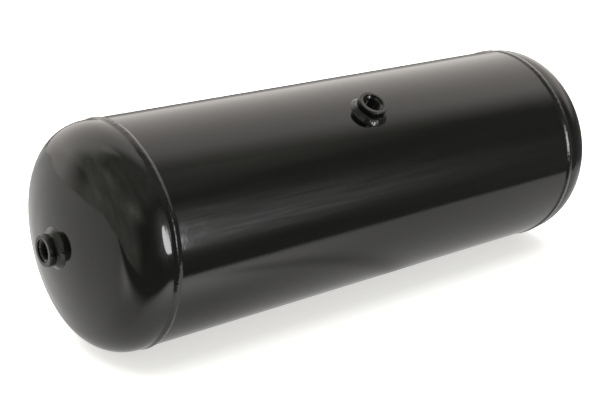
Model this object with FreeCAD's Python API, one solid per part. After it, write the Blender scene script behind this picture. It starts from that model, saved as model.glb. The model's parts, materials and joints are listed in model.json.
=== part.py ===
import FreeCAD, Part
import math
import os

# Welded steel pressure reservoir, in millimetres.
#
# Frame: origin on the tank's axis at mid-length, +X along the axis towards the rear port,
# +Z up as the tank lies on a bench. It lies on the crests of its two girth welds, and is
# propped against rolling by the rim of the drain port, so the top port leans towards -Y.
#
# A rolled shell has one lengthwise seam weld. Each dished head has a joggled lip that slides
# into the end of the shell, and a girth weld fills the groove between the two. Four threaded
# ports, two on the axis and two across it, sit in holes and are fillet welded on the outside.

# ---- driving dimensions ----
OVERALL_LENGTH = 720.0      # over the crowns of both heads
SHELL_R = 123.0             # outer radius of the shell
WALL = 2.5                  # steel sheet of the shell and the heads
SEAM_X = 291.0              # from mid-length to the crest of each girth weld

CROWN_R = 270.0             # outer radius of a head's dish
KNUCKLE_R = 46.0            # outer radius between the dish and the straight flange

LIP_CLEARANCE = 0.1         # radial gap between the lip and the inside of the shell
LIP_LENGTH = 16.0           # straight part of the lip, inside the shell
SHELL_END_GAP = 2.0         # from the shell's end to the crest of the weld
JOGGLE_START = -1.0         # where the lip begins to rise, measured from the weld's crest
JOGGLE_LENGTH = 6.0         # over which it rises to the full diameter

GIRTH_WELD_WIDTH = 13.0
GIRTH_WELD_HEIGHT = 1.5
SEAM_WELD_WIDTH = 8.0
SEAM_WELD_HEIGHT = 1.0
SEAM_GAP = 1.6              # between the rolled sheet's two edges

PORT_R = 17.0
PORT_LENGTH = 22.0
PORT_HOLE_CLEARANCE = 0.1   # radial, between a port and the hole that it is set in
PORT_EDGE_CHAMFER = 0.8
END_PORT_PROUD = 13.0       # from a head's crown to the port's face
TOP_PORT_PROUD = 13.5       # from the shell to the port's face
DRAIN_PORT_PROUD = 16.5     # the same, on the far side

THREAD_MAJOR_R = 11.0       # M22 x 1.5
THREAD_PITCH = 1.5
THREAD_MINOR_R = THREAD_MAJOR_R - 0.54127 * THREAD_PITCH
THREAD_END_R = 11.5         # of the chamfer at the thread's inner end
RECESS_R = 12.2             # of the round recess for a seal, in the port's face
RECESS_DEPTH = 2.0

PORT_WELD_LEG = 5.5         # along the shell or head
PORT_WELD_HEIGHT = 6.0      # along the port
PORT_WELD_BULGE = 0.7       # of the fillet's convex face

# ---- derived dimensions ----
HALF_LENGTH = OVERALL_LENGTH / 2
SHELL_INNER_R = SHELL_R - WALL
SHELL_HALF_LENGTH = SEAM_X - SHELL_END_GAP
LIP_R = SHELL_INNER_R - LIP_CLEARANCE
JOGGLE_END = JOGGLE_START + JOGGLE_LENGTH
KNUCKLE_CENTRE_R = SHELL_R - KNUCKLE_R
CROWN_CENTRE_X = HALF_LENGTH - CROWN_R
KNUCKLE_ANGLE = math.asin(KNUCKLE_CENTRE_R / (CROWN_R - KNUCKLE_R))
KNUCKLE_CENTRE_X = CROWN_CENTRE_X + (CROWN_R - KNUCKLE_R) * math.cos(KNUCKLE_ANGLE)

AXIS = FreeCAD.Vector(1, 0, 0)
ORIGIN = FreeCAD.Vector(0, 0, 0)
SPARE = 3.0                 # by which a tool body runs past what it cuts


def lean_of_top_port():
    """Angle from +Z at which the girth welds and the rim of the drain port touch one plane."""
    rest_height = SHELL_R + GIRTH_WELD_HEIGHT
    face_distance = SHELL_R + DRAIN_PORT_PROUD
    rim_r = PORT_R - PORT_EDGE_CHAMFER
    centre_angle = math.acos(rest_height / math.hypot(face_distance, rim_r))
    return centre_angle + math.atan(rim_r / face_distance)


LEAN = lean_of_top_port()
TOP_PORT_DIRECTION = FreeCAD.Vector(0, -math.sin(LEAN), math.cos(LEAN))
SEAM_WELD_DIRECTION = FreeCAD.Vector(0, math.cos(LEAN), math.sin(LEAN))


def along(direction, distance, sideways=0.0):
    """Point at a distance along a direction from the origin, and off it by a radius."""
    side = direction.cross(AXIS)
    if side.Length < 0.5:
        side = FreeCAD.Vector(0, 0, 1)
    return direction * distance + side * sideways


def arc(start, middle, end):
    return Part.Arc(start, middle, end).toShape()


def lathe(edges, direction):
    """Solid of revolution about a line through the origin."""
    face = Part.Face(Part.Wire(edges))
    solid = face.revolve(ORIGIN, direction, 360)
    if solid.Volume < 0:
        solid.reverse()
    return solid


def cylinder(radius, length, direction, start):
    return Part.makeCylinder(radius, length, along(direction, start), direction)


def polyline(points):
    return [Part.makeLine(a, b) for a, b in zip(points[:-1], points[1:])]


# ---- heads ----
def head_point(side, x, r):
    return FreeCAD.Vector(side * x, 0, r)


def joggle_edges(side, inset):
    """S-bend from the lip up to the flange: two equal arcs, offset inwards by inset."""
    rise = SHELL_R - LIP_R
    bend_r = (JOGGLE_LENGTH ** 2 + rise ** 2) / (4 * rise)
    half_turn = math.asin(JOGGLE_LENGTH / (2 * bend_r)) / 2
    start_x = SEAM_X + JOGGLE_START
    end_x = SEAM_X + JOGGLE_END
    lower_r = bend_r + inset
    upper_r = bend_r - inset

    def lower(angle):
        r = LIP_R + bend_r - lower_r * math.cos(angle)
        return head_point(side, start_x + lower_r * math.sin(angle), r)

    def upper(angle):
        r = SHELL_R - bend_r + upper_r * math.cos(angle)
        return head_point(side, end_x - upper_r * math.sin(angle), r)

    return [
        arc(lower(0), lower(half_turn), lower(2 * half_turn)),
        arc(upper(2 * half_turn), upper(half_turn), upper(0)),
    ]


def dish_edges(side, inset, hole_r):
    """Straight flange, knuckle and dish of one face of the sheet, in to the port's hole."""
    knuckle_r = KNUCKLE_R - inset
    crown_r = CROWN_R - inset

    def knuckle(angle):
        x = KNUCKLE_CENTRE_X + knuckle_r * math.cos(angle)
        return head_point(side, x, KNUCKLE_CENTRE_R + knuckle_r * math.sin(angle))

    def crown(angle):
        return head_point(side, CROWN_CENTRE_X + crown_r * math.cos(angle), crown_r * math.sin(angle))

    flange_start = head_point(side, SEAM_X + JOGGLE_END, SHELL_R - inset)
    hole_angle = math.asin(hole_r / crown_r)
    quarter = math.pi / 2
    return [
        Part.makeLine(flange_start, knuckle(quarter)),
        arc(knuckle(quarter), knuckle((quarter + KNUCKLE_ANGLE) / 2), knuckle(KNUCKLE_ANGLE)),
        arc(crown(KNUCKLE_ANGLE), crown((KNUCKLE_ANGLE + hole_angle) / 2), crown(hole_angle)),
    ]


def make_head(side):
    hole_r = PORT_R + PORT_HOLE_CLEARANCE
    lip_start_x = SEAM_X + JOGGLE_START - LIP_LENGTH
    lip_end_x = SEAM_X + JOGGLE_START
    faces = []
    for inset in (0.0, WALL):
        lip_r = LIP_R - inset
        lip = Part.makeLine(head_point(side, lip_start_x, lip_r), head_point(side, lip_end_x, lip_r))
        faces.append([lip] + joggle_edges(side, inset) + dish_edges(side, inset, hole_r))
    outer, inner = faces
    lip_rim = Part.makeLine(inner[0].firstVertex().Point, outer[0].firstVertex().Point)
    hole_wall = Part.makeLine(outer[-1].lastVertex().Point, inner[-1].lastVertex().Point)
    return lathe(Part.__sortEdges__([lip_rim] + outer + [hole_wall] + inner), AXIS)


# ---- girth welds ----
def make_girth_weld(side):
    """Bead that fills the groove between the shell's end and the joggle, and crowns over both."""
    half_width = GIRTH_WELD_WIDTH / 2
    root = head_point(side, SEAM_X - SHELL_END_GAP, LIP_R)
    shell_corner = head_point(side, SEAM_X - SHELL_END_GAP, SHELL_R)
    shell_toe = head_point(side, SEAM_X - half_width, SHELL_R)
    crest = head_point(side, SEAM_X, SHELL_R + GIRTH_WELD_HEIGHT)
    head_toe = head_point(side, SEAM_X + half_width, SHELL_R)
    flange_start = head_point(side, SEAM_X + JOGGLE_END, SHELL_R)
    lip_end = head_point(side, SEAM_X + JOGGLE_START, LIP_R)
    edges = polyline([lip_end, root, shell_corner, shell_toe])
    edges += [arc(shell_toe, crest, head_toe), Part.makeLine(head_toe, flange_start)]
    edges += joggle_edges(side, 0.0)
    return lathe(Part.__sortEdges__(edges), AXIS)


# ---- shell and its lengthwise seam ----
def seam_block(width, inner_r, outer_r, half_length):
    """Box along the tank, centred on the seam's direction."""
    box = Part.makeBox(2 * half_length, width, outer_r - inner_r)
    box.translate(FreeCAD.Vector(-half_length, -width / 2, inner_r))
    box.rotate(ORIGIN, AXIS, -math.degrees(math.pi / 2 - LEAN))
    return box


def make_shell():
    tube = cylinder(SHELL_R, 2 * SHELL_HALF_LENGTH, AXIS, -SHELL_HALF_LENGTH)
    hole_r = PORT_R + PORT_HOLE_CLEARANCE
    cutters = [
        cylinder(SHELL_INNER_R, 2 * (SHELL_HALF_LENGTH + SPARE), AXIS, -SHELL_HALF_LENGTH - SPARE),
        cylinder(hole_r, 2 * (SHELL_R + SPARE), TOP_PORT_DIRECTION, -SHELL_R - SPARE),
        seam_block(SEAM_GAP, SHELL_INNER_R - SPARE, SHELL_R + SPARE, SHELL_HALF_LENGTH + SPARE),
    ]
    return tube.cut(cutters)


def make_seam_weld(shell, girth_welds):
    """Web between the sheet's edges, with a low convex cap, stopping at the girth welds."""
    half_width = SEAM_WELD_WIDTH / 2
    toe_depth = SHELL_R - math.sqrt(SHELL_R ** 2 - half_width ** 2)
    cap_rise = SEAM_WELD_HEIGHT + toe_depth
    cap_r = (half_width ** 2 + cap_rise ** 2) / (2 * cap_rise)
    cap = cylinder(cap_r, 2 * SHELL_HALF_LENGTH, AXIS, -SHELL_HALF_LENGTH)
    cap.translate(SEAM_WELD_DIRECTION * (SHELL_R + SEAM_WELD_HEIGHT - cap_r))
    web = seam_block(SEAM_GAP, SHELL_INNER_R - SPARE, SHELL_R, SHELL_HALF_LENGTH)
    inside = cylinder(SHELL_INNER_R, 2 * (SHELL_HALF_LENGTH + SPARE), AXIS, -SHELL_HALF_LENGTH - SPARE)
    full_shell = cylinder(SHELL_R, 2 * (SHELL_HALF_LENGTH + SPARE), AXIS, -SHELL_HALF_LENGTH - SPARE)
    weld = cap.cut(full_shell).fuse(web).removeSplitter()
    return weld.cut([inside, shell] + girth_welds)


# ---- ports ----
def make_port(direction, face_distance):
    """Round boss, threaded right through. The thread is drawn as a plain bore at its minor radius."""
    start = face_distance - PORT_LENGTH
    recess_floor = face_distance - RECESS_DEPTH
    corners = [
        (start, THREAD_END_R),
        (start + THREAD_END_R - THREAD_MINOR_R, THREAD_MINOR_R),
        (recess_floor - RECESS_R + THREAD_MINOR_R, THREAD_MINOR_R),
        (recess_floor, RECESS_R),
        (face_distance, RECESS_R),
        (face_distance, PORT_R - PORT_EDGE_CHAMFER),
        (face_distance - PORT_EDGE_CHAMFER, PORT_R),
        (start + PORT_EDGE_CHAMFER, PORT_R),
        (start, PORT_R - PORT_EDGE_CHAMFER),
        (start, THREAD_END_R),
    ]
    return lathe(polyline([along(direction, distance, r) for distance, r in corners]), direction)


def make_port_weld(direction, surface_distance, base):
    """Convex fillet round a port, trimmed to the surface that it stands on."""
    foot_r = PORT_R + PORT_WELD_LEG
    slope = math.hypot(PORT_WELD_LEG, PORT_WELD_HEIGHT)
    top = along(direction, surface_distance + PORT_WELD_HEIGHT, PORT_R)
    toe = along(direction, surface_distance, foot_r)
    middle = along(
        direction,
        surface_distance + PORT_WELD_HEIGHT / 2 + PORT_WELD_BULGE * PORT_WELD_LEG / slope,
        PORT_R + PORT_WELD_LEG / 2 + PORT_WELD_BULGE * PORT_WELD_HEIGHT / slope,
    )
    below_toe_r = foot_r + SPARE * PORT_WELD_LEG / PORT_WELD_HEIGHT
    below_toe = along(direction, surface_distance - SPARE, below_toe_r)
    below_top = along(direction, surface_distance - SPARE, PORT_R)
    blank = lathe([arc(top, middle, toe)] + polyline([toe, below_toe, below_top, top]), direction)
    return blank.cut(base)


def make_ports_and_welds():
    dish = {
        side: Part.makeSphere(CROWN_R, FreeCAD.Vector(side * CROWN_CENTRE_X, 0, 0)) for side in (-1, 1)
    }
    full_shell = cylinder(SHELL_R, 2 * SHELL_HALF_LENGTH, AXIS, -SHELL_HALF_LENGTH)
    places = {
        "front_port": (-AXIS, HALF_LENGTH, END_PORT_PROUD, dish[-1]),
        "rear_port": (AXIS, HALF_LENGTH, END_PORT_PROUD, dish[1]),
        "top_port": (TOP_PORT_DIRECTION, SHELL_R, TOP_PORT_PROUD, full_shell),
        "drain_port": (-TOP_PORT_DIRECTION, SHELL_R, DRAIN_PORT_PROUD, full_shell),
    }
    pieces = {}
    for name, (direction, surface_distance, proud, base) in places.items():
        pieces[name + "_boss"] = make_port(direction, surface_distance + proud)
        pieces[name + "_weld"] = make_port_weld(direction, surface_distance, base)
    return pieces


def make_pieces():
    pieces = {
        "shell": make_shell(),
        "front_head": make_head(-1),
        "rear_head": make_head(1),
        "front_girth_weld": make_girth_weld(-1),
        "rear_girth_weld": make_girth_weld(1),
    }
    girth_welds = [pieces["front_girth_weld"], pieces["rear_girth_weld"]]
    pieces["shell_seam_weld"] = make_seam_weld(pieces["shell"], girth_welds)
    pieces.update(make_ports_and_welds())
    return pieces


def main():
    os.makedirs("parts", exist_ok=True)
    for name, shape in make_pieces().items():
        solid = shape.Solids[0] if len(shape.Solids) == 1 else shape
        solid.exportStep("parts/" + name + ".step")
        print(f"{name}: solids {len(shape.Solids)}, valid {shape.isValid()}, {shape.Volume:.0f} mm3")
    print(f"top port leans {math.degrees(LEAN):.2f} degrees")


main()
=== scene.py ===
import json
import math
import bpy
import numpy as np
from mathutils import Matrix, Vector


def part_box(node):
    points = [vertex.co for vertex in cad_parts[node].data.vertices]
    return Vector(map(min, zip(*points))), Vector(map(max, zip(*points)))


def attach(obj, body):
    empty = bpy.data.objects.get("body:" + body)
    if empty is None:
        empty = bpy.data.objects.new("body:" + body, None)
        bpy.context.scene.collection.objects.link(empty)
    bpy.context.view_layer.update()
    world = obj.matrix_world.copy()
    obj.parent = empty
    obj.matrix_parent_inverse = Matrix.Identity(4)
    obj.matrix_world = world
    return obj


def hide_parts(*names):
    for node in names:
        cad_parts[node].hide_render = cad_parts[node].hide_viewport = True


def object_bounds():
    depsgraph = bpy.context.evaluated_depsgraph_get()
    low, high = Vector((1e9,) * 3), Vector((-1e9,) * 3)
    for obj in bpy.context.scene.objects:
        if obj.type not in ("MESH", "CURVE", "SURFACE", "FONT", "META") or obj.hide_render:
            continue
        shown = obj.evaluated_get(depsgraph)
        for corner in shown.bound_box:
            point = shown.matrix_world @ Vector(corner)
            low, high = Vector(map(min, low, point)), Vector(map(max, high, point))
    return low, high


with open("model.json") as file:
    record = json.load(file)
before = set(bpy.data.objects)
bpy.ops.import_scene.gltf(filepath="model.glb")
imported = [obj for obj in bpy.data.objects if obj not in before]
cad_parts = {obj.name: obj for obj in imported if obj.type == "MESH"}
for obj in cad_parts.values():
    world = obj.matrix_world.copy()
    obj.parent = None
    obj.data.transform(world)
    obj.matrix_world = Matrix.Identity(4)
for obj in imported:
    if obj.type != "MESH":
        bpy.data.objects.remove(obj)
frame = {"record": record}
cad_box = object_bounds()

# Every length below is in metres, in the frame of the CAD model.

# ---- sizes read from the frame ----
mounts = {m["name"]: m for m in frame["record"]["mounts"]}
_, shell_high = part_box("shell")
_, rear_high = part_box("rear_head")
girth_low, girth_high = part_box("rear_girth_weld")
boss_low, boss_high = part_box("rear_port_boss")

SHELL_R = round(rear_high.z, 4)
SHELL_HALF = shell_high.x
PORT_LENGTH = boss_high.x - boss_low.x
PORT_R = round(boss_high.z, 4)
THREAD_MINOR_R = mounts["rear_port"]["dims"]["r_mm"] / 1000
SEAM_X = (girth_low.x + girth_high.x) / 2
GIRTH_WIDTH = girth_high.x - girth_low.x
GIRTH_HEIGHT = round(girth_high.z, 4) - SHELL_R
FLOOR_Z = cad_box[0].z

# ---- sizes of the sheet, the joint and the thread ----
HALF_LENGTH = 0.360
WALL = 0.0025
CROWN_R = 0.270
KNUCKLE_R = 0.046
LIP_R = SHELL_R - WALL - 0.0001
LIP_LENGTH = 0.016
JOGGLE_START = -0.001
JOGGLE_LENGTH = 0.006
SEAM_GAP = 0.0016
SEAM_WELD_WIDTH = 0.008
SEAM_WELD_HEIGHT = 0.001
PORT_HOLE_R = PORT_R + 0.0001
PORT_EDGE = 0.0008
RECESS_EDGE = 0.0004
THREAD_END_R = 0.0115
RECESS_R = 0.0122
RECESS_DEPTH = 0.002
RECESS_STRAIGHT = 0.0010
RECESS_FOOT = 0.0002
RECESS_TAPER = 0.0001
RECESS_LEDGE = 0.0003
THREAD_MAJOR_R = 0.011
THREAD_PITCH = 0.0015
THREAD_STEPS = 14           # rows of points in each pitch
PORT_WELD_LEG = 0.0055
PORT_WELD_HEIGHT = 0.006
FILLET_KNEE = (0.20, 0.66)  # where a port weld's face turns flatter, in parts of its leg and height
WELD_SINK = 0.0004          # how far a bead's foot reaches into the sheet

# ---- marks that the welding left, all small beside the beads ----
GIRTH_RIPPLE_PITCH = 0.0038
GIRTH_RIPPLE_HEIGHT = 0.00004
GIRTH_LAP_ANGLE = 4.1
GIRTH_LAP_LENGTH = 0.007
SEAM_RIPPLE_PITCH = 0.0019
SEAM_RIPPLE_HEIGHT = 0.00010
PORT_WELD_MEAN_R = 0.021
PORT_WELD_RIPPLE_PITCH = 0.0027
PORT_WELD_RIPPLE_HEIGHT = 0.00004
PORT_WELD_GROOVE = 0.00035
PORT_WELD_BITE = 0.0002     # overlap with the port's wall
PORT_WELD_STOP_ANGLE = 2.4
PORT_WELD_STOP_LENGTH = 0.005

X_AXIS = np.array([1.0, 0.0, 0.0])
TOP_PORT_AXIS = np.array(mounts["top_port"]["axis"])
SEAM_AXIS = np.array([0.0, TOP_PORT_AXIS[2], -TOP_PORT_AXIS[1]])


# ---- mesh helpers ----
def outward(vertices, faces):
    """The faces, all turned over if they enclose a negative volume."""
    corners = vertices[faces]
    across = np.cross(corners[:, 2] - corners[:, 0], corners[:, 3] - corners[:, 1])
    volume = (corners.mean(1) * across).sum()
    return faces[:, ::-1] if volume < 0 else faces


def quads(rows, columns, wrap_rows):
    """Faces of a grid whose columns close on themselves, and whose rows may too."""
    i = np.arange(rows if wrap_rows else rows - 1)[:, None]
    j = np.arange(columns)[None, :]
    next_i = (i + 1) % rows
    next_j = (j + 1) % columns
    grid = np.stack(
        [i * columns + j, next_i * columns + j, next_i * columns + next_j, i * columns + next_j], -1
    )
    return grid.reshape(-1, 4)


def end_cap(first, columns):
    """Faces across one end, between the two halves of a section that runs out and back."""
    j = np.arange(columns // 2 - 1)
    return np.stack([first + j, first + j + 1, first + columns - 2 - j, first + columns - 1 - j], -1)


def make_object(name, vertices, faces, sharp_angle):
    mesh = bpy.data.meshes.new(name)
    mesh.from_pydata(vertices.tolist(), [], outward(vertices, faces).tolist())
    mesh.shade_smooth()
    mesh.set_sharp_from_angle(angle=math.radians(sharp_angle))
    obj = bpy.data.objects.new(name, mesh)
    bpy.context.scene.collection.objects.link(obj)
    return obj


def ring_object(name, rings, sharp_angle=35):
    """Closed solid from sections that go right round and meet again."""
    rows, columns = rings.shape[:2]
    return make_object(name, rings.reshape(-1, 3), quads(rows, columns, True), sharp_angle)


def bar_object(name, rings, sharp_angle=35):
    """Closed solid from sections laid in a row, with a cap on each end."""
    rows, columns = rings.shape[:2]
    side = quads(rows, columns, False)
    first, last = end_cap(0, columns), end_cap((rows - 1) * columns, columns)[:, ::-1]
    return make_object(name, rings.reshape(-1, 3), np.concatenate([side, first, last]), sharp_angle)


def turned(section, axis, angles):
    """Places points, given as distance along and from an axis, at each angle round that axis.

    section holds one row of points for every angle, or one row for all of them.
    """
    start = np.array([0.0, 0.0, 1.0]) if abs(axis[0]) > 0.5 else X_AXIS
    third = np.cross(axis, start)
    section = np.broadcast_to(section, (len(angles),) + section.shape[-2:])
    out = start * np.cos(angles)[:, None, None] + third * np.sin(angles)[:, None, None]
    return section[..., :1] * axis + section[..., 1:] * out


def full_turn(count):
    return np.arange(count) * 2 * math.pi / count


def waves(t, seed, lowest, highest, count):
    """Smooth periodic wander of about -1 to 1 along an angle t, the same each run."""
    rng = np.random.default_rng(seed)
    total = np.zeros_like(t)
    for _ in range(count):
        total += np.cos(rng.integers(lowest, highest + 1) * t + rng.uniform(0, 2 * math.pi))
    return total / math.sqrt(count)


def soften(rows, times):
    """Rounds the corners of each row of values by averaging neighbours; the two ends stay."""
    for _ in range(times):
        rows = rows.copy()
        rows[:, 1:-1] = (rows[:, :-2] + 2 * rows[:, 1:-1] + rows[:, 2:]) / 4
    return rows


# ---- how the sheet really lies: rolled steel is never quite round ----
def sheet_wander(x, angle):
    """Small difference of the shell from a true cylinder, which bends its reflections."""
    fade = np.clip((SHELL_HALF - np.abs(x)) / 0.05, 0, 1)
    fade = fade * fade * (3 - 2 * fade)
    rolled = 0.00010 * np.cos(3 * angle + 1.1 + 4 * x) + 0.00006 * np.cos(5 * angle - 0.7 - 9 * x)
    along = 0.00005 * np.cos(31 * x + 1.3 * np.sin(2 * angle) + 0.4) * np.cos(2 * angle + 0.9)
    return fade * (rolled + along)


# ---- heads ----
def arc_points(centre_x, centre_r, radius, start, end, count):
    angle = np.linspace(start, end, count)
    return np.stack([centre_x + radius * np.cos(angle), centre_r + radius * np.sin(angle)], -1)


def joggle_points(inset, count):
    """S-bend from the lip up to the flange, from the inside of the tank outwards."""
    rise = SHELL_R - LIP_R
    bend_r = (JOGGLE_LENGTH**2 + rise**2) / (4 * rise)
    turn = math.asin(JOGGLE_LENGTH / (2 * bend_r))
    start_x = SEAM_X + JOGGLE_START
    low = arc_points(start_x, LIP_R + bend_r, bend_r + inset, -math.pi / 2, turn - math.pi / 2, count)
    end_x = start_x + JOGGLE_LENGTH
    high = arc_points(end_x, SHELL_R - bend_r, bend_r - inset, math.pi / 2 + turn, math.pi / 2, count)
    return np.concatenate([low, high[1:]])


def sheet_face(inset):
    """One face of a head's sheet, from the lip's rim to the port's hole."""
    knuckle_centre_r = SHELL_R - KNUCKLE_R
    knuckle_end = math.asin(knuckle_centre_r / (CROWN_R - KNUCKLE_R))
    crown_x = HALF_LENGTH - CROWN_R
    knuckle_x = crown_x + (CROWN_R - KNUCKLE_R) * math.cos(knuckle_end)
    crown_r = CROWN_R - inset
    hole = math.asin(PORT_HOLE_R / crown_r)
    lip_start = SEAM_X + JOGGLE_START - LIP_LENGTH
    lip = np.stack([np.linspace(lip_start, SEAM_X + JOGGLE_START, 5), np.full(5, LIP_R - inset)], -1)
    flange_x = np.linspace(SEAM_X + JOGGLE_START + JOGGLE_LENGTH + 0.0005, knuckle_x - 0.0008, 4)
    flange = np.stack([flange_x, np.full(4, SHELL_R - inset)], -1)
    knuckle = arc_points(knuckle_x, knuckle_centre_r, KNUCKLE_R - inset, math.pi / 2, knuckle_end, 34)
    crown = arc_points(crown_x, 0.0, crown_r, knuckle_end, hole, 44)
    return np.concatenate([lip[:-1], joggle_points(inset, 7), flange, knuckle, crown[1:]])


def make_head(name, side):
    outer, inner = sheet_face(0.0), sheet_face(WALL)
    section = np.concatenate([outer, inner[::-1]])
    angles = full_turn(360)
    sections = np.repeat(section[None], len(angles), 0)
    # pressing leaves the dish a little uneven, least of all at the flange
    dish = np.clip((section[:, 0] - SEAM_X - 0.012) / 0.03, 0, 1)
    near_port = np.clip((section[:, 1] - 0.026) / 0.02, 0, 1)
    uneven = 0.00016 * np.cos(2 * angles + 0.6 * side) + 0.00010 * np.cos(3 * angles - 1.2)
    ripple = 0.00005 * np.cos(section[:, 1] * 170 + 1.7 * np.sin(angles)[:, None])
    sections[..., 0] += (uneven[:, None] + ripple) * dish * near_port
    return ring_object(name, turned(sections, side * X_AXIS, angles))


# ---- girth welds ----
def bead_profile(t):
    """Height of a bead across its width, for t from -1 to 1, with paint pooled along its edges."""
    return 0.5 + 0.5 * np.cos(math.pi * t)


def girth_profile(t):
    """The same for a girth bead, whose flank on the shell's side is straighter."""
    straight = soften(np.clip((0.85 + t) / 0.7, 0, 1)[None], 2)[0]
    return np.where(t < 0, 0.5 * bead_profile(t) + 0.5 * straight, bead_profile(t))


def make_girth_weld(name, side, seed):
    """Submerged-arc bead: fine curved ripples, an edge that wanders, and a lap where it closes."""
    angles = full_turn(2200)
    column = angles[:, None]
    t = np.linspace(-1, 1, 25)
    # the torch drifted a little from side to side: the crest and both edges sway with it
    sway = np.cos(3 * column + math.pi / 4)
    crest = SEAM_X - 0.0002 + 0.0007 * sway + 0.00025 * waves(column, seed + 1, 5, 22, 6)
    edge_wander = 1 + 0.035 * waves(column, seed, 14, 60, 8)
    inner_half = (GIRTH_WIDTH * 0.42 - 0.0010 * sway) * edge_wander
    outer_half = (GIRTH_WIDTH * 0.47 + 0.0005 * sway) * edge_wander
    x = crest + np.where(t < 0, inner_half, outer_half) * t
    wander = 0.0009 * waves(column, seed + 2, 40, 150, 8)
    phase = (SHELL_R * column + 0.0035 * t**2 + wander) / GIRTH_RIPPLE_PITCH * 2 * math.pi
    ripple = GIRTH_RIPPLE_HEIGHT * np.cos(phase + 0.6 * np.sin(phase))
    ripple = ripple * (0.8 + 0.35 * waves(column, seed + 4, 30, 90, 8))
    lap = np.exp(-(((column - GIRTH_LAP_ANGLE) * SHELL_R / GIRTH_LAP_LENGTH) ** 2))
    lumps = waves(column, seed + 3, 50, 120, 10)
    height = GIRTH_HEIGHT * (0.92 + 0.035 * lumps + 0.08 * lap)
    cap = SHELL_R + (height + ripple) * girth_profile(t) - 0.00005
    sunk = SHELL_R - WELD_SINK
    outer_foot = np.stack([x[:, -1:], np.full_like(column, sunk)], -1)
    inner_foot = np.stack([x[:, :1], np.full_like(column, sunk)], -1)
    under = np.array([[SEAM_X + JOGGLE_START + JOGGLE_LENGTH, sunk]])
    joggle = joggle_points(0.0, 5)[::-1][1:]
    root = np.array([[SHELL_HALF, LIP_R], [SHELL_HALF, sunk]])
    below = np.concatenate([under, joggle, root])
    below = np.repeat(below[None], len(angles), 0)
    section = np.concatenate([np.stack([x, cap], -1), outer_foot, below, inner_foot], 1)
    return ring_object(name, turned(section, side * X_AXIS, angles), 60)


# ---- shell ----
def around(angle, radius):
    """Points in the cross-plane at an angle from the seam's direction, turning towards the top port."""
    direction = np.cos(angle)[..., None] * SEAM_AXIS + np.sin(angle)[..., None] * TOP_PORT_AXIS
    return direction * radius[..., None]


def cut_hole(obj, axis, radius, near, far):
    """Cuts a round hole from one distance to another along an axis through the origin."""
    section = np.array([[near, radius], [far, radius]])
    loop = turned(section, axis, full_turn(96))
    count = len(loop)
    vertices = np.concatenate([loop[:, 0], loop[:, 1]])
    mesh = bpy.data.meshes.new("cutter")
    faces = [[i, (i + 1) % count, count + (i + 1) % count, count + i] for i in range(count)]
    faces += [list(range(count))[::-1], list(range(count, 2 * count))]
    mesh.from_pydata(vertices.tolist(), [], faces)
    mesh.update()
    cutter = bpy.data.objects.new("cutter", mesh)
    bpy.context.scene.collection.objects.link(cutter)
    modifier = obj.modifiers.new("hole", "BOOLEAN")
    modifier.operation = "DIFFERENCE"
    modifier.solver = "EXACT"
    modifier.object = cutter
    bpy.context.view_layer.update()
    cut = bpy.data.meshes.new_from_object(obj.evaluated_get(bpy.context.evaluated_depsgraph_get()))
    obj.modifiers.clear()
    obj.data = cut
    bpy.data.objects.remove(cutter)


def make_shell(name):
    half_gap = SEAM_GAP / 2 / SHELL_R
    angle = np.linspace(half_gap, 2 * math.pi - half_gap, 385)
    x = np.linspace(-SHELL_HALF, SHELL_HALF, 161)[:, None]
    wander = sheet_wander(x, angle[None])
    outer, inner = around(angle, SHELL_R + wander), around(angle, SHELL_R - WALL + wander)
    rings = np.concatenate([outer, inner[:, ::-1]], 1)
    rings += x[:, None] * X_AXIS
    obj = bar_object(name, rings)
    for axis in (TOP_PORT_AXIS, -TOP_PORT_AXIS):
        cut_hole(obj, axis, PORT_HOLE_R, SHELL_R - 0.02, SHELL_R + 0.02)
    obj.data.shade_smooth()
    obj.data.set_sharp_from_angle(angle=math.radians(35))
    return obj


def make_seam_weld(name):
    """Machine-made butt weld along the shell: narrow, low, with fine even ripples."""
    stop = SEAM_X - GIRTH_WIDTH / 2 + 0.0022
    x = np.linspace(-stop, stop, 2400)[:, None]
    t = np.linspace(-1, 1, 13)
    turn = x / stop * math.pi
    half_width = SEAM_WELD_WIDTH / 2 * (1 + 0.05 * waves(turn, 31, 20, 90, 8))
    offset = half_width * t + 0.0002 * waves(turn, 32, 6, 30, 6)
    phase = x + 0.0022 * t**2 + 0.0003 * waves(turn, 33, 60, 200, 6)
    phase = phase / SEAM_RIPPLE_PITCH * 2 * math.pi
    height = SEAM_WELD_HEIGHT * (0.9 + 0.06 * waves(turn, 34, 30, 120, 8)) * bead_profile(t)
    height = height + SEAM_RIPPLE_HEIGHT * np.cos(phase + 0.5 * np.sin(phase)) * bead_profile(t)
    angle = offset / SHELL_R
    surface = SHELL_R + sheet_wander(x, angle)
    top = surface + height
    top[:, [0, -1]] = (surface - WELD_SINK)[:, [0, -1]]
    bottom = np.broadcast_to(SHELL_R - WALL + sheet_wander(x, 0 * angle) - 0.0002, angle.shape)
    narrow = np.clip(offset, -SEAM_GAP / 2, SEAM_GAP / 2)[:, ::-1] / SHELL_R
    bottom = np.where(np.abs(offset[:, ::-1]) < SEAM_GAP / 2, bottom, (surface - WELD_SINK)[:, ::-1])
    rings = np.concatenate([around(angle, top), around(narrow, bottom)], 1)
    rings += x[:, None] * X_AXIS
    return bar_object(name, rings, 60)


# ---- ports ----
def thread_radius(turns):
    """Radius of an internal 60 degree thread, for a distance along it counted in pitches."""
    u = np.abs((turns % 1.0) - 0.5) * 2
    depth = np.clip((u - 0.15) / 0.75, 0, 1)
    depth = depth * depth * (3 - 2 * depth)
    return THREAD_MAJOR_R - (THREAD_MAJOR_R - THREAD_MINOR_R) * depth


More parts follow.
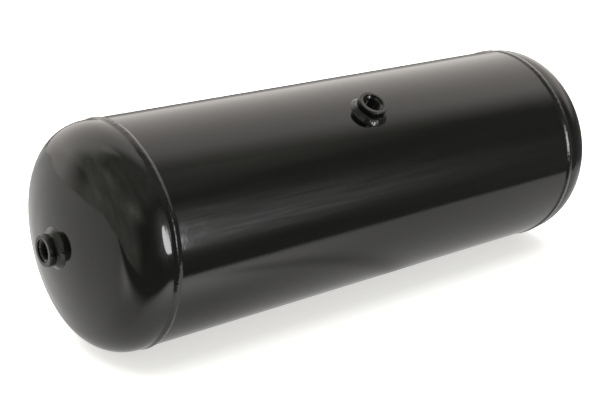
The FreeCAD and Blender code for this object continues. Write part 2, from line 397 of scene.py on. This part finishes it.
def make_port(name, axis, face):
    """Turned boss with a recess for a seal in its face, and a real helical thread behind it."""
    start = face - PORT_LENGTH
    floor = face - RECESS_DEPTH
    angles = full_turn(144)
    edge = arc_points(face - PORT_EDGE, PORT_R - PORT_EDGE, PORT_EDGE, math.pi / 2, 0, 6)
    foot = arc_points(start + PORT_EDGE, PORT_R - PORT_EDGE, PORT_EDGE, math.pi, math.pi / 2, 4)
    wall = np.stack([np.linspace(start + PORT_EDGE, face - PORT_EDGE, 9)[1:-1], np.full(7, PORT_R)], -1)
    lip = arc_points(face - RECESS_EDGE, RECESS_R + RECESS_EDGE, RECESS_EDGE, 0, -math.pi / 2, 4)
    recess_foot = [floor + RECESS_FOOT, RECESS_R - RECESS_TAPER]
    recess = np.array([[face - RECESS_STRAIGHT, RECESS_R], recess_foot])
    outside = np.concatenate([foot, wall, edge, lip, recess])
    outside = np.repeat(outside[None], len(angles), 0)
    steps = int((PORT_LENGTH - RECESS_DEPTH) / THREAD_PITCH * THREAD_STEPS)
    s = np.linspace(floor, start, steps + 1)
    cone = np.maximum(RECESS_R - RECESS_LEDGE - (floor - s), THREAD_END_R - (s - start))
    thread = thread_radius((face - s)[None] / THREAD_PITCH - angles[:, None] / (2 * math.pi))
    bore_r = np.maximum(np.maximum(thread, cone[None]), THREAD_MINOR_R)
    bore = np.stack([np.broadcast_to(s, bore_r.shape), bore_r], -1)
    section = np.concatenate([outside, bore], 1)
    obj = ring_object(name, turned(section, axis, angles), 28)
    column = np.arange(len(obj.data.polygons)) % section.shape[1]
    inside = (column >= outside.shape[1]).astype(np.int32)
    obj.data.polygons.foreach_set("material_index", inside)
    return obj


def surface_distance(axis, rho, angles):
    """Distance along a port's axis of the sheet's outer face, at a radius and angle round the port."""
    if abs(axis[0]) > 0.5:
        return HALF_LENGTH - CROWN_R + np.sqrt(CROWN_R**2 - rho**2)
    sideways = rho * np.sin(angles)
    along = rho * np.cos(angles)
    ring_angle = np.arctan2(np.sqrt(SHELL_R**2 - sideways**2), sideways)
    if axis @ TOP_PORT_AXIS < 0:
        ring_angle = -ring_angle
    return np.sqrt(SHELL_R**2 - sideways**2) + sheet_wander(along, ring_angle)


def fillet_profile(count):
    """Face of a fillet from 0, 1 to 1, 0: steep where it meets the port, then nearly flat."""
    along = np.linspace(0, 1, count)
    across = np.interp(along, [0, 0.38, 0.92, 1], [0, FILLET_KNEE[0], 0.97, 1])
    upward = np.interp(along, [0, 0.38, 0.92, 1], [1, FILLET_KNEE[1], 0.12, 0])
    return soften(across[None], 5)[0], soften(upward[None], 5)[0]


def make_port_weld(name, axis, seed):
    """Hand-laid fillet round a port: a nearly flat face, uneven in width, rippled, with one stop."""
    angles = full_turn(640)
    column = angles[:, None]
    uneven = 0.04 * waves(column, seed, 2, 7, 5) + 0.012 * waves(column, seed + 1, 8, 22, 6)
    leg = PORT_WELD_LEG * (0.99 + uneven)
    stop = np.exp(-(((column - PORT_WELD_STOP_ANGLE) * PORT_R / PORT_WELD_STOP_LENGTH) ** 2))
    high = PORT_WELD_HEIGHT * (1.07 + 0.06 * waves(column, seed + 2, 2, 9, 6) - 0.10 * stop)
    across, upward = fillet_profile(27)
    out, up = leg * across, high * upward
    t = np.linspace(0, 1, len(across))
    # a groove between the first pass and the one laid over it
    groove_place = 0.36 + 0.06 * waves(column, seed + 4, 2, 6, 4)
    groove = PORT_WELD_GROOVE * np.exp(-(((t - groove_place) / 0.07) ** 2))
    phase = PORT_WELD_MEAN_R * column + 0.0028 * (2 * t - 1) ** 2
    phase = (phase + 0.0005 * waves(column, seed + 3, 6, 24, 6)) / PORT_WELD_RIPPLE_PITCH * 2 * math.pi
    ripple = PORT_WELD_RIPPLE_HEIGHT * np.cos(phase + 0.6 * np.sin(phase)) * np.sin(math.pi * t)
    # square to the face, which lies at about 45 degrees to the port's axis
    relief = 0.7 * (ripple - groove)
    rho = PORT_R - PORT_WELD_BITE + out + relief
    top = surface_distance(axis, rho, column) + up + relief
    sunk_rho = np.linspace(1, 0, 6) * (rho[:, -1:] - PORT_R) + PORT_R - PORT_WELD_BITE
    sunk = surface_distance(axis, sunk_rho, column) - WELD_SINK
    section = np.concatenate([np.stack([top, rho], -1), np.stack([sunk, sunk_rho], -1)], 1)
    return ring_object(name, turned(section, axis, angles), 60)


# ---- materials ----
def node(tree, kind, **settings):
    made = tree.nodes.new(kind)
    for key, value in settings.items():
        setattr(made, key, value)
    return made


def noise(tree, place, scale, detail=3.0, roughness=0.5):
    made = node(tree, "ShaderNodeTexNoise")
    made.inputs["Scale"].default_value = scale
    made.inputs["Detail"].default_value = detail
    made.inputs["Roughness"].default_value = roughness
    tree.links.new(place, made.inputs["Vector"])
    return made.outputs["Fac"]


def remap(tree, value, low, high, to_low, to_high):
    made = node(tree, "ShaderNodeMapRange")
    for key, number in (("From Min", low), ("From Max", high), ("To Min", to_low), ("To Max", to_high)):
        made.inputs[key].default_value = number
    tree.links.new(value, made.inputs["Value"])
    return made.outputs["Result"]


def combine(tree, operation, a, b):
    made = node(tree, "ShaderNodeMath", operation=operation)
    for socket, value in zip(made.inputs, (a, b)):
        if isinstance(value, (int, float)):
            socket.default_value = value
        else:
            tree.links.new(value, socket)
    return made.outputs["Value"]


def times(tree, first, *others):
    """Product of several values, taken from the left."""
    for other in others:
        first = combine(tree, "MULTIPLY", first, other)
    return first


def plus(tree, first, *others):
    """Sum of several values, taken from the left."""
    for other in others:
        first = combine(tree, "ADD", first, other)
    return first


def minus(tree, a, b):
    return combine(tree, "SUBTRACT", a, b)


def mix_colour(tree, factor, first, second):
    made = node(tree, "ShaderNodeMix", data_type="RGBA")
    for socket, value in ((made.inputs[6], first), (made.inputs[7], second)):
        if isinstance(value, tuple):
            socket.default_value = value + (1.0,)
        else:
            tree.links.new(value, socket)
    tree.links.new(factor, made.inputs[0])
    return made.outputs[2]


def bump(tree, height, distance, strength, before=None):
    made = node(tree, "ShaderNodeBump")
    made.inputs["Distance"].default_value = distance
    made.inputs["Strength"].default_value = strength
    tree.links.new(height, made.inputs["Height"])
    if before is not None:
        tree.links.new(before, made.inputs["Normal"])
    return made.outputs["Normal"]


def smooth_step(tree, value, low, high):
    made = node(tree, "ShaderNodeMapRange", interpolation_type="SMOOTHSTEP")
    made.inputs["From Min"].default_value = low
    made.inputs["From Max"].default_value = high
    tree.links.new(value, made.inputs["Value"])
    return made.outputs["Result"]


def scaled_step(tree, value, low, high, amount):
    return times(tree, smooth_step(tree, value, low, high), amount)


def bell(tree, value, middle, below, above):
    """Rises to 1 at middle and falls off on each side, with a spread of its own for each."""
    offset = minus(tree, value, middle)
    low = combine(tree, "DIVIDE", combine(tree, "MINIMUM", offset, 0.0), below)
    high = combine(tree, "DIVIDE", combine(tree, "MAXIMUM", offset, 0.0), above)
    spread = plus(tree, times(tree, low, low), times(tree, high, high))
    return combine(tree, "POWER", math.exp(-0.5), spread)


def new_material(name):
    material = bpy.data.materials.new(name)
    material.use_nodes = True
    return material, material.node_tree, material.node_tree.nodes["Principled BSDF"]


def object_place(tree):
    return node(tree, "ShaderNodeTexCoord").outputs["Object"]


def parts_of(tree, vector):
    split = node(tree, "ShaderNodeSeparateXYZ")
    tree.links.new(vector, split.inputs["Vector"])
    return split.outputs


def make_paint(name, smooth, dull, peel):
    """Gloss black enamel: clouds of slightly duller film, orange peel and a little settled dust."""
    material, tree, shader = new_material(name)
    place = object_place(tree)
    clouds = noise(tree, place, 9.0, 3.0, 0.55)
    film = noise(tree, place, 60.0, 2.0, 0.5)
    speck = noise(tree, place, 900.0, 1.0, 0.5)
    dust = remap(tree, speck, 0.66, 0.78, 0.0, 1.0)
    dust = times(tree, dust, remap(tree, clouds, 0.40, 0.65, 0.15, 0.8))
    colour = mix_colour(tree, clouds, (0.0010, 0.0010, 0.0011), (0.0020, 0.0019, 0.0018))
    colour = mix_colour(tree, dust, colour, (0.020, 0.019, 0.017))
    tree.links.new(colour, shader.inputs["Base Color"])
    rough = remap(tree, clouds, 0.3, 0.7, smooth, dull)
    rough = plus(tree, rough, remap(tree, film, 0.3, 0.7, -0.012, 0.018), times(tree, dust, 0.12))
    tree.links.new(rough, shader.inputs["Roughness"])
    wave = bump(tree, noise(tree, place, 150.0, 2.0, 0.5), 0.00010, peel)
    skin = bump(tree, noise(tree, place, 420.0, 1.0, 0.5), 0.00003, peel, wave)
    tree.links.new(skin, shader.inputs["Normal"])
    shader.inputs["IOR"].default_value = 1.5
    return material


def make_thread_steel(name):
    """Phosphated thread with a little overspray: dark, dull metal, uneven from turn to turn."""
    material, tree, shader = new_material(name)
    place = object_place(tree)
    patches = noise(tree, place, 260.0, 3.0, 0.6)
    colour = mix_colour(tree, patches, (0.045, 0.043, 0.040), (0.14, 0.13, 0.12))
    tree.links.new(colour, shader.inputs["Base Color"])
    tree.links.new(remap(tree, patches, 0.3, 0.7, 0.30, 0.48), shader.inputs["Roughness"])
    tree.links.new(bump(tree, noise(tree, place, 1500.0), 0.00004, 0.4), shader.inputs["Normal"])
    shader.inputs["Metallic"].default_value = 1.0
    return material


def make_matt(name):
    """Matt white surface that can also be lit from below."""
    material, tree, shader = new_material(name)
    shader.inputs["Roughness"].default_value = 0.9
    shader.inputs["Specular IOR Level"].default_value = 0.0
    shader.inputs["Emission Color"].default_value = (1.0, 0.99, 0.97, 1.0)
    return material, tree, shader


# ---- the object ----
black_paint = make_paint("black_paint", smooth=0.055, dull=0.080, peel=0.22)
weld_paint = make_paint("weld_paint", smooth=0.08, dull=0.12, peel=0.30)
bead_paint = make_paint("bead_paint", smooth=0.15, dull=0.20, peel=0.40)
port_paint = make_paint("port_paint", smooth=0.10, dull=0.16, peel=0.40)
thread_steel = make_thread_steel("thread_steel")


def finish_piece(obj, node_name, material, inner_material=None):
    obj.data.materials.clear()
    obj.data.materials.append(material)
    if inner_material is not None:
        obj.data.materials.append(inner_material)
    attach(obj, "root")
    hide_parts(node_name)


finish_piece(make_shell("rolled_shell"), "shell", black_paint)
for end, side in (("front", -1), ("rear", 1)):
    finish_piece(make_head(end + "_dished_head", side), end + "_head", black_paint)
    bead = make_girth_weld(end + "_girth_bead", side, 40 + 10 * side)
    finish_piece(bead, end + "_girth_weld", bead_paint)
finish_piece(make_seam_weld("lengthwise_bead"), "shell_seam_weld", bead_paint)
for number, place_name in enumerate(("front", "rear", "top", "drain")):
    axis = np.array(mounts[place_name + "_port"]["axis"])
    face = np.array(mounts[place_name + "_port_face"]["pos_m"]) @ axis
    boss = make_port(place_name + "_threaded_boss", axis, face)
    finish_piece(boss, place_name + "_port_boss", port_paint, thread_steel)
    fillet = make_port_weld(place_name + "_fillet_bead", axis, 70 + 5 * number)
    finish_piece(fillet, place_name + "_port_weld", weld_paint)


# ---- floor ----
FLOOR_REACH = 30.0
FLOOR_TONES = ((0.80, 0.80, 0.80), (0.824, 0.824, 0.816))
FLOOR_GLOW = 0.62
# The sheet is seen only in reflections; its glow is painted light that keeps the floor's reflection
# bright, in the tank's shadow too.
SHEET_TONE = (0.17, 0.17, 0.168)
SHEET_BASE_GLOW = 0.19      # of the bare ground round the sheet
SHEET_GLOW = 0.40           # what the sheet adds to it
SHEET_LEFT_END = -8.0
SHEET_FRONT_END = -0.34
SHEET_LIFT = 0.0002
SHEET_FRONT_Y = -0.28       # front edge of the white sheet under the tank
SHEET_CORNER_X = -0.31      # left of here the edge lies further back
SHEET_STEP = 0.090          # by this much
SHEET_EDGE_BLUR = 1.6       # how much softer the edge is there
# painted shade: a dark arc in the sheet's glow under the tank, part of a circle
SHADE_ARC_CENTRE = (-0.308, 0.189)
SHADE_ARC_R = 0.443


def flat_piece(name, outline, height, material):
    mesh = bpy.data.meshes.new(name)
    mesh.from_pydata([(x, y, height) for x, y in outline], [], [list(range(len(outline)))])
    mesh.materials.append(material)
    obj = bpy.data.objects.new(name, mesh)
    bpy.context.scene.collection.objects.link(obj)
    return obj


def show_only_to(obj, camera=False, diffuse=False, glossy=False, shadow=False):
    obj.visible_camera = camera
    obj.visible_diffuse = diffuse
    obj.visible_glossy = glossy
    obj.visible_transmission = camera
    obj.visible_shadow = shadow


def make_floor_material(name):
    """Pale floor, lit from below as well so that shadows on it stay pale."""
    material, tree, shader = make_matt(name)
    tone = mix_colour(tree, noise(tree, object_place(tree), 3.0), *FLOOR_TONES)
    tree.links.new(tone, shader.inputs["Base Color"])
    shader.inputs["Emission Strength"].default_value = FLOOR_GLOW
    return material


def painted_shade_arc(tree, x, y):
    """A painted dark arc of shade under the tank, part of a circle, which fades out on the left."""
    across = plus(tree, x, -SHADE_ARC_CENTRE[0])
    inward = plus(tree, y, -SHADE_ARC_CENTRE[1])
    square = plus(tree, times(tree, across, across), times(tree, inward, inward))
    shade_arc = bell(tree, combine(tree, "POWER", square, 0.5), SHADE_ARC_R, 0.014, 0.018)
    return times(tree, shade_arc, scaled_step(tree, x, -0.18, -0.10, 0.38))


def painted_edge_light(tree, x, inside, right):
    """Painted light: extra glow in a band along the sheet's front edge, at the right and the far left,
    and a painted bright patch behind it.
    """
    crest = bell(tree, inside, 0.036, 0.025, 0.045)
    right_edge_light = times(tree, scaled_step(tree, times(tree, x, -1.0), -0.22, 0.27, 0.85), right)
    left_edge_light = times(tree, bell(tree, x, -0.55, 0.22, 0.06), 0.95)
    painted_light_patch = times(tree, bell(tree, x, -0.205, 0.06, 0.06), bell(tree, inside, 0.088, 0.05, 0.04), 0.36)
    return plus(tree, times(tree, crest, plus(tree, right_edge_light, left_edge_light)), painted_light_patch)


def make_sheet_material(name):
    """White sheet that stops short in front of the tank; its glow is painted light, brighter along its
    front edge.
    """
    material, tree, shader = make_matt(name)
    x, y, _ = parts_of(tree, object_place(tree))
    right = smooth_step(tree, x, SHEET_CORNER_X - 0.06, SHEET_CORNER_X + 0.13)
    right = combine(tree, "POWER", right, 0.5)
    left = minus(tree, 1.0, right)
    edge = plus(tree, times(tree, left, SHEET_STEP), SHEET_FRONT_Y)
    edge = minus(tree, edge, scaled_step(tree, x, -0.1, 0.35, 0.012))
    inside = minus(tree, y, edge)
    # the edge is blurred more beside the near head
    blur = plus(tree, times(tree, left, SHEET_EDGE_BLUR), 1.0)
    sheet = smooth_step(tree, combine(tree, "DIVIDE", inside, blur), -0.012, 0.022)
    right_end = smooth_step(tree, x, 0.52, 0.80)
    far_behind = times(tree, scaled_step(tree, y, 0.80, 1.60, 0.85), smooth_step(tree, x, -0.4, 0.6))
    # painted shade: a darker patch in front of the near head
    painted_shade_patch = times(tree, bell(tree, x, -0.225, 0.05, 0.075), bell(tree, y, -0.135, 0.04, 0.06), 0.34)
    # the glow is dimmed to the right and far behind, by the painted dark arc and by the painted dark
    # patch
    for dimmer in (right_end, far_behind, painted_shade_arc(tree, x, y), painted_shade_patch):
        sheet = times(tree, sheet, minus(tree, 1.0, dimmer))
    # painted light: the sheet glows, with extra glow along its front edge and in a patch behind it
    glow = times(tree, sheet, plus(tree, painted_edge_light(tree, x, inside, right), SHEET_GLOW))
    tree.links.new(plus(tree, glow, SHEET_BASE_GLOW), shader.inputs["Emission Strength"])
    tone = mix_colour(tree, sheet, (0.0, 0.0, 0.0), SHEET_TONE)
    tree.links.new(tone, shader.inputs["Base Color"])
    return material


floor_corners = [(-FLOOR_REACH, -FLOOR_REACH), (FLOOR_REACH, -FLOOR_REACH)]
floor_corners += [(FLOOR_REACH, FLOOR_REACH), (-FLOOR_REACH, FLOOR_REACH)]
floor = flat_piece("floor", floor_corners, FLOOR_Z, make_floor_material("pale_floor"))
show_only_to(floor, camera=True, diffuse=True)
# what the gloss paint mirrors of the floor: a sheet seen only in reflections, whose glow is painted
# light
sheet_corners = [(SHEET_LEFT_END, SHEET_FRONT_END), (FLOOR_REACH, SHEET_FRONT_END)]
sheet_corners += [(FLOOR_REACH, FLOOR_REACH), (SHEET_LEFT_END, FLOOR_REACH)]
sheet_material = make_sheet_material("white_sheet")
sheet = flat_piece("white_sheet", sheet_corners, FLOOR_Z + SHEET_LIFT, sheet_material)
show_only_to(sheet, glossy=True)


# ---- light ----
WALL_LIGHT = 1.42
ROOM_LIGHT = 0.19
BACKDROP_LIGHT = 1.1
SOFT_BOX_LIGHT = 12.5
WALL_TINT = (1.0, 0.945, 0.895)
ROOM_TINT = (0.98, 1.0, 0.87)
GLOW_TINT = (1.0, 1.0, 1.0)

# Patches of light in the room: azimuth and then elevation, each as middle, spread below and
# spread above in degrees, and strength. Azimuth 0 is straight in front, 90 is to the right.
ROOM_PATCHES = (
    ((-41.0, 14.0, 14.0), (33.0, 6.0, 6.0), 0.95),
    ((-157.0, 17.0, 17.0), (52.0, 20.0, 20.0), 1.8),
    ((-98.0, 8.0, 8.0), (43.0, 6.0, 6.0), 0.25),
    ((-118.0, 6.0, 6.0), (6.0, 4.0, 4.0), 0.22),
    ((-132.0, 9.0, 7.0), (7.5, 3.0, 3.5), -0.34),
)
GLOW_PATCHES = (
    ((29.0, 13.0, 8.0), (1.0, 7.0, 4.0), 1.15),
    ((29.0, 13.0, 8.0), (10.0, 4.0, 11.0), 0.85),
    ((27.0, 12.0, 7.0), (21.0, 5.0, 6.0), 0.12),
)


def patch(tree, azimuth, elevation, across, upward, amount):
    return times(tree, bell(tree, azimuth, *across), bell(tree, elevation, *upward), amount)


def background(tree, strength, colour):
    made = node(tree, "ShaderNodeBackground")
    tree.links.new(strength, made.inputs["Strength"])
    made.inputs["Color"].default_value = colour + (1.0,)
    return made.outputs[0]


def wall_light(tree, direction, on_wall):
    """Big soft wall behind and overhead, brighter straight behind and higher up."""
    x, y, z = parts_of(tree, direction)
    wall = plus(tree, scaled_step(tree, y, 0.0, 0.76, 0.36), WALL_LIGHT)
    horizon = plus(tree, scaled_step(tree, z, -0.05, 0.32, 0.31), 0.69)
    # a dark strip where the wall meets the floor, straight behind
    foot = minus(tree, 1.0, smooth_step(tree, z, 0.08, 0.18))
    strip = times(tree, foot, smooth_step(tree, x, 0.25, 0.45), scaled_step(tree, y, 0.50, 0.66, 0.60))
    return times(tree, wall, horizon, on_wall, minus(tree, 1.0, strip))


def room_light(tree, direction, azimuth, elevation, on_wall):
    """The dim rest of the room: paler on the left and high up, with patches and faint clouds."""
    x, _, z = parts_of(tree, direction)
    room = plus(tree, scaled_step(tree, z, 0.54, 0.76, 0.27), ROOM_LIGHT)
    room = plus(tree, room, scaled_step(tree, times(tree, x, -1.0), 0.5, 0.87, 0.46))
    for place in ROOM_PATCHES:
        room = plus(tree, room, patch(tree, azimuth, elevation, *place))
    clouds = remap(tree, noise(tree, direction, 4.0, 3.0, 0.6), 0.3, 0.7, 0.78, 1.22)
    return times(tree, room, clouds, minus(tree, 1.0, on_wall))


def glow_light(tree, direction, azimuth, elevation):
    """Mottled glow low in front on the right."""
    glow = plus(tree, *[patch(tree, azimuth, elevation, *place) for place in GLOW_PATCHES])
    mottle = remap(tree, noise(tree, direction, 24.0, 3.0, 0.6), 0.3, 0.7, 0.5, 1.5)
    return times(tree, glow, mottle)


def make_world():
    """A studio seen by direction: wall, room and glow; the camera sees a plain white backdrop."""
    world = bpy.data.worlds.new("studio")
    bpy.context.scene.world = world
    world.use_nodes = True
    tree = world.node_tree
    tree.nodes.clear()
    direction = node(tree, "ShaderNodeTexCoord").outputs["Generated"]
    x, y, z = parts_of(tree, direction)
    azimuth = times(tree, combine(tree, "ARCTAN2", x, times(tree, y, -1.0)), 180 / math.pi)
    elevation = times(tree, combine(tree, "ARCSINE", z, 0.0), 180 / math.pi)
    # the wall fills the directions within about 75 degrees of the back right
    towards = plus(tree, times(tree, x, 0.76), times(tree, y, 1.08), times(tree, z, 0.08))
    on_wall = smooth_step(tree, towards, 0.12, 0.55)
    # low at the far right it has an opening
    front = minus(tree, 1.0, smooth_step(tree, y, 0.2, 0.45))
    low = minus(tree, 1.0, smooth_step(tree, z, 0.08, 0.42))
    opening = times(tree, smooth_step(tree, x, 0.78, 0.92), times(tree, front, low))
    on_wall = times(tree, on_wall, minus(tree, 1.0, opening))
    lights = node(tree, "ShaderNodeAddShader")
    wall = wall_light(tree, direction, on_wall)
    tree.links.new(background(tree, wall, WALL_TINT), lights.inputs[0])
    others = node(tree, "ShaderNodeAddShader")
    room = room_light(tree, direction, azimuth, elevation, on_wall)
    tree.links.new(background(tree, room, ROOM_TINT), others.inputs[0])
    glow = glow_light(tree, direction, azimuth, elevation)
    tree.links.new(background(tree, glow, GLOW_TINT), others.inputs[1])
    tree.links.new(others.outputs[0], lights.inputs[1])
    backdrop = node(tree, "ShaderNodeBackground")
    backdrop.inputs["Color"].default_value = (1.0, 1.0, 1.0, 1.0)
    backdrop.inputs["Strength"].default_value = BACKDROP_LIGHT
    choose = node(tree, "ShaderNodeMixShader")
    tree.links.new(node(tree, "ShaderNodeLightPath").outputs["Is Camera Ray"], choose.inputs[0])
    tree.links.new(lights.outputs[0], choose.inputs[1])
    tree.links.new(backdrop.outputs[0], choose.inputs[2])
    tree.links.new(choose.outputs[0], node(tree, "ShaderNodeOutputWorld").inputs["Surface"])


def add_light(name, kind, location, target, power):
    light = bpy.data.lights.new(name, kind)
    light.energy = power
    obj = bpy.data.objects.new(name, light)
    obj.location = location
    obj.rotation_euler = (Vector(target) - Vector(location)).to_track_quat("-Z", "Y").to_euler()
    bpy.context.scene.collection.objects.link(obj)
    return obj


def make_soft_box(name, centre, half_width, half_height, light):
    """Half-round soft box standing in a plane of one y, flat side to the right, dimmer at its rim."""
    angles = np.linspace(math.pi / 2, 3 * math.pi / 2, 33)
    rim = [
        (centre.x + half_width * math.cos(a), centre.y, centre.z + half_height * math.sin(a))
        for a in angles
    ]
    mesh = bpy.data.meshes.new(name)
    mesh.from_pydata(rim, [], [list(range(len(rim)))])
    material = bpy.data.materials.new(name)
    material.use_nodes = True
    tree = material.node_tree
    tree.nodes.clear()
    shader = node(tree, "ShaderNodeEmission")
    x, _, z = parts_of(tree, object_place(tree))
    across = combine(tree, "DIVIDE", minus(tree, x, centre.x), half_width)
    upward = combine(tree, "DIVIDE", minus(tree, z, centre.z), half_height)
    square = plus(tree, times(tree, across, across), times(tree, upward, upward))
    rim_fade = smooth_step(tree, minus(tree, 1.0, square), 0.0, 0.35)
    side_fade = smooth_step(tree, times(tree, across, -1.0), 0.0, 0.07)
    strength = times(tree, rim_fade, side_fade, light)
    tree.links.new(strength, shader.inputs["Strength"])
    tree.links.new(shader.outputs[0], node(tree, "ShaderNodeOutputMaterial").inputs["Surface"])
    mesh.materials.append(material)
    obj = bpy.data.objects.new(name, mesh)
    bpy.context.scene.collection.objects.link(obj)
    return obj


make_world()
# even light from above for the floor; it makes no highlight
fill = add_light("fill", "SUN", (0.0, 0.3, 3.0), (0.0, 0.0, 0.0), 3.0)
fill.data.angle = math.radians(70)
fill.visible_glossy = False
# soft box at the front right, which makes the small sharp highlights
soft_box = make_soft_box("soft_box", Vector((0.797, -2.0, 0.215)), 0.43, 0.54, SOFT_BOX_LIGHT)
show_only_to(soft_box, glossy=True)


# ---- camera ----
camera_data = bpy.data.cameras.new("camera")
camera_data.sensor_width = 36.0
camera_data.lens = 70.2
camera = bpy.data.objects.new("camera", camera_data)
bpy.context.scene.collection.objects.link(camera)
camera.location = (-0.8504, -1.0264, 0.4151)
aim = Vector((-0.0438, 0.0, -0.0123))
camera.rotation_euler = (aim - camera.location).to_track_quat("-Z", "Y").to_euler()
bpy.context.scene.camera = camera
bpy.context.scene.view_settings.view_transform = "Standard"
